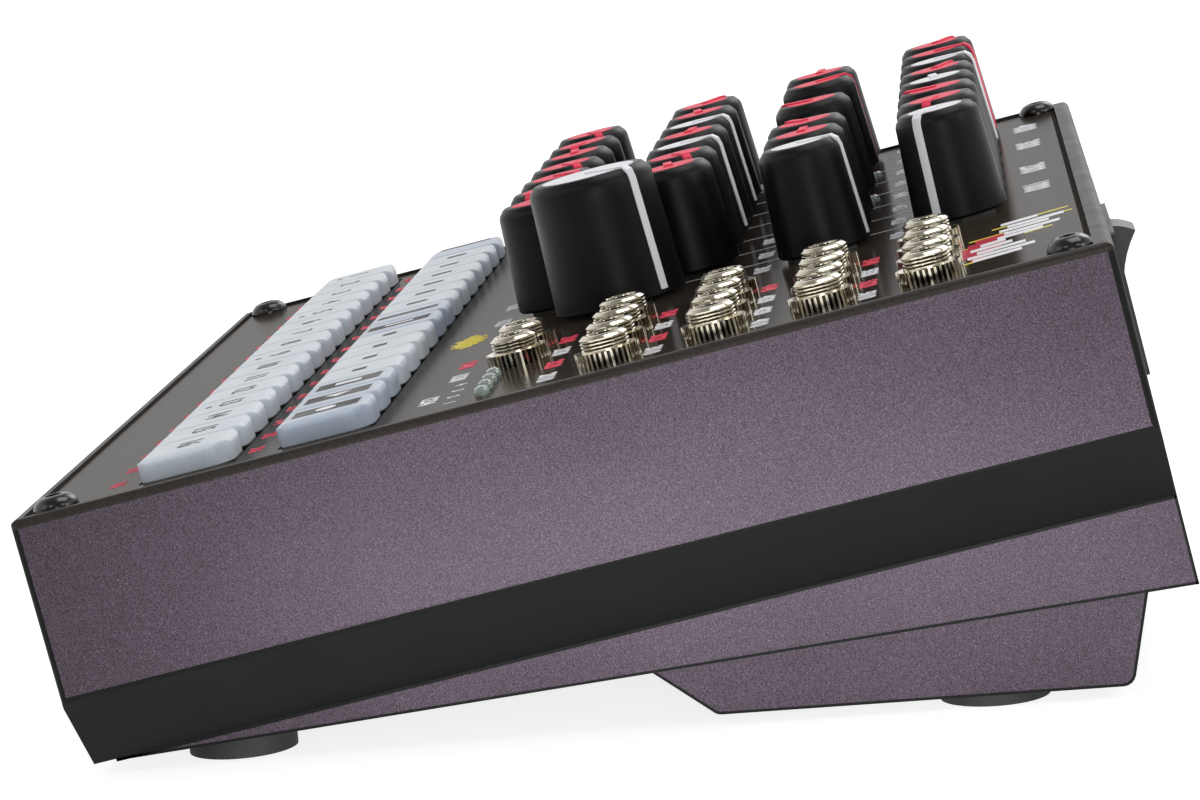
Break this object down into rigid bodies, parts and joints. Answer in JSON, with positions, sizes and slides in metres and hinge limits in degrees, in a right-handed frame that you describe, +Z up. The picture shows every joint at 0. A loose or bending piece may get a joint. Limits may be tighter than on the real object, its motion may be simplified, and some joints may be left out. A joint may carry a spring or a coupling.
{
  "type": "drum machine",
  "caption": "Sloping tabletop drum machine: two rows of white keys, rows of tall black knobs, a block of patch sockets and a power rocker at the rear.",
  "frame": {"origin": "centre of the bounding box, on the surface that the feet stand on", "axes": "+Z up, -Y towards the player, +X to the player's right, where the patch sockets are"},
  "size_m": [0.189, 0.1403, 0.0689],
  "materials": {
    "case_paint": "purple-grey metallic paint with a fine speckle, bare dark edges",
    "panel_gloss": "glossy black printed panel",
    "screw_black": "black oxide, smooth",
    "foot_rubber": "matt rubber",
    "board": "solder mask",
    "pot_metal": "plated steel",
    "nickel": "bright nickel",
    "lamp_clear": "clear lens",
    "rear_black": "fine-grained black",
    "rocker_black": "satin black",
    "knob_black": "soft-touch black with an inlaid line and cap",
    "key_white": "translucent milky white"
  },
  "bodies": {
    "case": {"top_shell": "case_paint", "base_tray": "case_paint", "front_panel": "panel_gloss", "screws": "screw_black", "feet": "foot_rubber", "circuit_board": "board", "potentiometers": "pot_metal", "patch_jacks": "nickel", "jack_nuts": "nickel", "lamps": "lamp_clear", "rear_plate": "rear_black"},
    "power_rocker": {"power_rocker": "rocker_black"},
    "main_dial": {"main_dial": "knob_black"},
    "knob_a2": {"knob_a2": "knob_black"},
    "knob_a3": {"knob_a3": "knob_black"},
    "knob_a4": {"knob_a4": "knob_black"},
    "knob_a5": {"knob_a5": "knob_black"},
    "knob_a6": {"knob_a6": "knob_black"},
    "knob_a7": {"knob_a7": "knob_black"},
    "knob_a8": {"knob_a8": "knob_black"},
    "knob_b2": {"knob_b2": "knob_black"},
    "knob_b3": {"knob_b3": "knob_black"},
    "knob_b4": {"knob_b4": "knob_black"},
    "knob_b5": {"knob_b5": "knob_black"},
    "knob_b6": {"knob_b6": "knob_black"},
    "knob_b7": {"knob_b7": "knob_black"},
    "knob_b8": {"knob_b8": "knob_black"},
    "knob_c1": {"knob_c1": "knob_black"},
    "knob_c2": {"knob_c2": "knob_black"},
    "knob_c3": {"knob_c3": "knob_black"},
    "knob_c5": {"knob_c5": "knob_black"},
    "knob_c7": {"knob_c7": "knob_black"},
    "knob_c8": {"knob_c8": "knob_black"},
    "knob_d1": {"knob_d1": "knob_black"},
    "knob_d2": {"knob_d2": "knob_black"},
    "knob_d3": {"knob_d3": "knob_black"},
    "knob_d4": {"knob_d4": "knob_black"},
    "knob_d5": {"knob_d5": "knob_black"},
    "knob_d6": {"knob_d6": "knob_black"},
    "knob_d7": {"knob_d7": "knob_black"},
    "knob_d8": {"knob_d8": "knob_black"},
    "step_key_01": {"step_key_01": "key_white"},
    "step_key_02": {"step_key_02": "key_white"},
    "step_key_03": {"step_key_03": "key_white"},
    "step_key_04": {"step_key_04": "key_white"},
    "step_key_05": {"step_key_05": "key_white"},
    "step_key_06": {"step_key_06": "key_white"},
    "step_key_07": {"step_key_07": "key_white"},
    "step_key_08": {"step_key_08": "key_white"},
    "step_key_09": {"step_key_09": "key_white"},
    "step_key_10": {"step_key_10": "key_white"},
    "step_key_11": {"step_key_11": "key_white"},
    "step_key_12": {"step_key_12": "key_white"},
    "step_key_13": {"step_key_13": "key_white"},
    "step_key_14": {"step_key_14": "key_white"},
    "step_key_15": {"step_key_15": "key_white"},
    "step_key_16": {"step_key_16": "key_white"},
    "voice_keys": {"voice_keys": "key_white"},
    "select_keys": {"select_keys": "key_white"},
    "transport_keys": {"transport_keys": "key_white"}
  },
  "joints": [
    {"name": "power_switch", "type": "hinge", "parent": "case", "child": "power_rocker", "pos_m": [0.05, 0.06374, 0.04729], "axis": [1, 0, 0], "range_deg": [0, 28]},
    {"name": "main_dial_turn", "type": "hinge", "parent": "case", "child": "main_dial", "pos_m": [0.029, 0.0001, 0.04541], "axis": [0, -0.1736, 0.9848], "range_deg": [-107, 193]},
    {"name": "knob_a2_turn", "type": "hinge", "parent": "case", "child": "knob_a2", "pos_m": [0.0128, -0.00896, 0.04381], "axis": [0, -0.1736, 0.9848], "range_deg": [-245, 55]},
    {"name": "knob_a3_turn", "type": "hinge", "parent": "case", "child": "knob_a3", "pos_m": [-0.0034, -0.00896, 0.04381], "axis": [0, -0.1736, 0.9848], "range_deg": [-34, 266]},
    {"name": "knob_a4_turn", "type": "hinge", "parent": "case", "child": "knob_a4", "pos_m": [-0.0196, -0.00896, 0.04381], "axis": [0, -0.1736, 0.9848], "range_deg": [-102, 198]},
    {"name": "knob_a5_turn", "type": "hinge", "parent": "case", "child": "knob_a5", "pos_m": [-0.0358, -0.00896, 0.04381], "axis": [0, -0.1736, 0.9848], "range_deg": [-84, 216]},
    {"name": "knob_a6_turn", "type": "hinge", "parent": "case", "child": "knob_a6", "pos_m": [-0.052, -0.00896, 0.04381], "axis": [0, -0.1736, 0.9848], "range_deg": [-242, 58]},
    {"name": "knob_a7_turn", "type": "hinge", "parent": "case", "child": "knob_a7", "pos_m": [-0.0682, -0.00896, 0.04381], "axis": [0, -0.1736, 0.9848], "range_deg": [-49, 251]},
    {"name": "knob_a8_turn", "type": "hinge", "parent": "case", "child": "knob_a8", "pos_m": [-0.0844, -0.00896, 0.04381], "axis": [0, -0.1736, 0.9848], "range_deg": [-79, 221]},
    {"name": "knob_b2_turn", "type": "hinge", "parent": "case", "child": "knob_b2", "pos_m": [0.0128, 0.00916, 0.04701], "axis": [0, -0.1736, 0.9848], "range_deg": [-246, 54]},
    {"name": "knob_b3_turn", "type": "hinge", "parent": "case", "child": "knob_b3", "pos_m": [-0.0034, 0.00916, 0.04701], "axis": [0, -0.1736, 0.9848], "range_deg": [-81, 219]},
    {"name": "knob_b4_turn", "type": "hinge", "parent": "case", "child": "knob_b4", "pos_m": [-0.0196, 0.00916, 0.04701], "axis": [0, -0.1736, 0.9848], "range_deg": [-135, 165]},
    {"name": "knob_b5_turn", "type": "hinge", "parent": "case", "child": "knob_b5", "pos_m": [-0.0358, 0.00916, 0.04701], "axis": [0, -0.1736, 0.9848], "range_deg": [-233, 67]},
    {"name": "knob_b6_turn", "type": "hinge", "parent": "case", "child": "knob_b6", "pos_m": [-0.052, 0.00916, 0.04701], "axis": [0, -0.1736, 0.9848], "range_deg": [-138, 162]},
    {"name": "knob_b7_turn", "type": "hinge", "parent": "case", "child": "knob_b7", "pos_m": [-0.0682, 0.00916, 0.04701], "axis": [0, -0.1736, 0.9848], "range_deg": [-247, 53]},
    {"name": "knob_b8_turn", "type": "hinge", "parent": "case", "child": "knob_b8", "pos_m": [-0.0844, 0.00916, 0.04701], "axis": [0, -0.1736, 0.9848], "range_deg": [-205, 95]},
    {"name": "knob_c1_turn", "type": "hinge", "parent": "case", "child": "knob_c1", "pos_m": [0.029, 0.02728, 0.0502], "axis": [0, -0.1736, 0.9848], "range_deg": [-138, 162]},
    {"name": "knob_c2_turn", "type": "hinge", "parent": "case", "child": "knob_c2", "pos_m": [0.0128, 0.02728, 0.0502], "axis": [0, -0.1736, 0.9848], "range_deg": [-237, 63]},
    {"name": "knob_c3_turn", "type": "hinge", "parent": "case", "child": "knob_c3", "pos_m": [-0.0034, 0.02728, 0.0502], "axis": [0, -0.1736, 0.9848], "range_deg": [-271, 29]},
    {"name": "knob_c5_turn", "type": "hinge", "parent": "case", "child": "knob_c5", "pos_m": [-0.0358, 0.02728, 0.0502], "axis": [0, -0.1736, 0.9848], "range_deg": [-300, 0]},
    {"name": "knob_c7_turn", "type": "hinge", "parent": "case", "child": "knob_c7", "pos_m": [-0.0682, 0.02728, 0.0502], "axis": [0, -0.1736, 0.9848], "range_deg": [-165, 135]},
    {"name": "knob_c8_turn", "type": "hinge", "parent": "case", "child": "knob_c8", "pos_m": [-0.0844, 0.02728, 0.0502], "axis": [0, -0.1736, 0.9848], "range_deg": [-236, 64]},
    {"name": "knob_d1_turn", "type": "hinge", "parent": "case", "child": "knob_d1", "pos_m": [0.029, 0.0454, 0.0534], "axis": [0, -0.1736, 0.9848], "range_deg": [-31, 269]},
    {"name": "knob_d2_turn", "type": "hinge", "parent": "case", "child": "knob_d2", "pos_m": [0.0128, 0.0454, 0.0534], "axis": [0, -0.1736, 0.9848], "range_deg": [-46, 254]},
    {"name": "knob_d3_turn", "type": "hinge", "parent": "case", "child": "knob_d3", "pos_m": [-0.0034, 0.0454, 0.0534], "axis": [0, -0.1736, 0.9848], "range_deg": [-300, 0]},
    {"name": "knob_d4_turn", "type": "hinge", "parent": "case", "child": "knob_d4", "pos_m": [-0.0196, 0.0454, 0.0534], "axis": [0, -0.1736, 0.9848], "range_deg": [-245, 55]},
    {"name": "knob_d5_turn", "type": "hinge", "parent": "case", "child": "knob_d5", "pos_m": [-0.0358, 0.0454, 0.0534], "axis": [0, -0.1736, 0.9848], "range_deg": [-212, 88]},
    {"name": "knob_d6_turn", "type": "hinge", "parent": "case", "child": "knob_d6", "pos_m": [-0.052, 0.0454, 0.0534], "axis": [0, -0.1736, 0.9848], "range_deg": [-138, 162]},
    {"name": "knob_d7_turn", "type": "hinge", "parent": "case", "child": "knob_d7", "pos_m": [-0.0682, 0.0454, 0.0534], "axis": [0, -0.1736, 0.9848], "range_deg": [-140, 160]},
    {"name": "knob_d8_turn", "type": "hinge", "parent": "case", "child": "knob_d8", "pos_m": [-0.0844, 0.0454, 0.0534], "axis": [0, -0.1736, 0.9848], "range_deg": [-208, 92]},
    {"name": "step_key_01_press", "type": "slide", "parent": "case", "child": "step_key_01", "axis": [0, 0.1736, -0.9848], "range_m": [0, 0.0008], "stiffness_N_per_m": 1000, "springref_m": -0.0004},
    {"name": "step_key_02_press", "type": "slide", "parent": "case", "child": "step_key_02", "axis": [0, 0.1736, -0.9848], "range_m": [0, 0.0008], "stiffness_N_per_m": 1000, "springref_m": -0.0004},
    {"name": "step_key_03_press", "type": "slide", "parent": "case", "child": "step_key_03", "axis": [0, 0.1736, -0.9848], "range_m": [0, 0.0008], "stiffness_N_per_m": 1000, "springref_m": -0.0004},
    {"name": "step_key_04_press", "type": "slide", "parent": "case", "child": "step_key_04", "axis": [0, 0.1736, -0.9848], "range_m": [0, 0.0008], "stiffness_N_per_m": 1000, "springref_m": -0.0004},
    {"name": "step_key_05_press", "type": "slide", "parent": "case", "child": "step_key_05", "axis": [0, 0.1736, -0.9848], "range_m": [0, 0.0008], "stiffness_N_per_m": 1000, "springref_m": -0.0004},
    {"name": "step_key_06_press", "type": "slide", "parent": "case", "child": "step_key_06", "axis": [0, 0.1736, -0.9848], "range_m": [0, 0.0008], "stiffness_N_per_m": 1000, "springref_m": -0.0004},
    {"name": "step_key_07_press", "type": "slide", "parent": "case", "child": "step_key_07", "axis": [0, 0.1736, -0.9848], "range_m": [0, 0.0008], "stiffness_N_per_m": 1000, "springref_m": -0.0004},
    {"name": "step_key_08_press", "type": "slide", "parent": "case", "child": "step_key_08", "axis": [0, 0.1736, -0.9848], "range_m": [0, 0.0008], "stiffness_N_per_m": 1000, "springref_m": -0.0004},
    {"name": "step_key_09_press", "type": "slide", "parent": "case", "child": "step_key_09", "axis": [0, 0.1736, -0.9848], "range_m": [0, 0.0008], "stiffness_N_per_m": 1000, "springref_m": -0.0004},
    {"name": "step_key_10_press", "type": "slide", "parent": "case", "child": "step_key_10", "axis": [0, 0.1736, -0.9848], "range_m": [0, 0.0008], "stiffness_N_per_m": 1000, "springref_m": -0.0004},
    {"name": "step_key_11_press", "type": "slide", "parent": "case", "child": "step_key_11", "axis": [0, 0.1736, -0.9848], "range_m": [0, 0.0008], "stiffness_N_per_m": 1000, "springref_m": -0.0004},
    {"name": "step_key_12_press", "type": "slide", "parent": "case", "child": "step_key_12", "axis": [0, 0.1736, -0.9848], "range_m": [0, 0.0008], "stiffness_N_per_m": 1000, "springref_m": -0.0004},
    {"name": "step_key_13_press", "type": "slide", "parent": "case", "child": "step_key_13", "axis": [0, 0.1736, -0.9848], "range_m": [0, 0.0008], "stiffness_N_per_m": 1000, "springref_m": -0.0004},
    {"name": "step_key_14_press", "type": "slide", "parent": "case", "child": "step_key_14", "axis": [0, 0.1736, -0.9848], "range_m": [0, 0.0008], "stiffness_N_per_m": 1000, "springref_m": -0.0004},
    {"name": "step_key_15_press", "type": "slide", "parent": "case", "child": "step_key_15", "axis": [0, 0.1736, -0.9848], "range_m": [0, 0.0008], "stiffness_N_per_m": 1000, "springref_m": -0.0004},
    {"name": "step_key_16_press", "type": "slide", "parent": "case", "child": "step_key_16", "axis": [0, 0.1736, -0.9848], "range_m": [0, 0.0008], "stiffness_N_per_m": 1000, "springref_m": -0.0004},
    {"name": "voice_keys_press", "type": "slide", "parent": "case", "child": "voice_keys", "axis": [0, 0.1736, -0.9848], "range_m": [0, 0.0008], "stiffness_N_per_m": 7000, "springref_m": -0.0004},
    {"name": "select_keys_press", "type": "slide", "parent": "case", "child": "select_keys", "axis": [0, 0.1736, -0.9848], "range_m": [0, 0.0008], "stiffness_N_per_m": 6000, "springref_m": -0.0004},
    {"name": "transport_keys_press", "type": "slide", "parent": "case", "child": "transport_keys", "axis": [0, 0.1736, -0.9848], "range_m": [0, 0.0008], "stiffness_N_per_m": 3000, "springref_m": -0.0004}
  ]
}
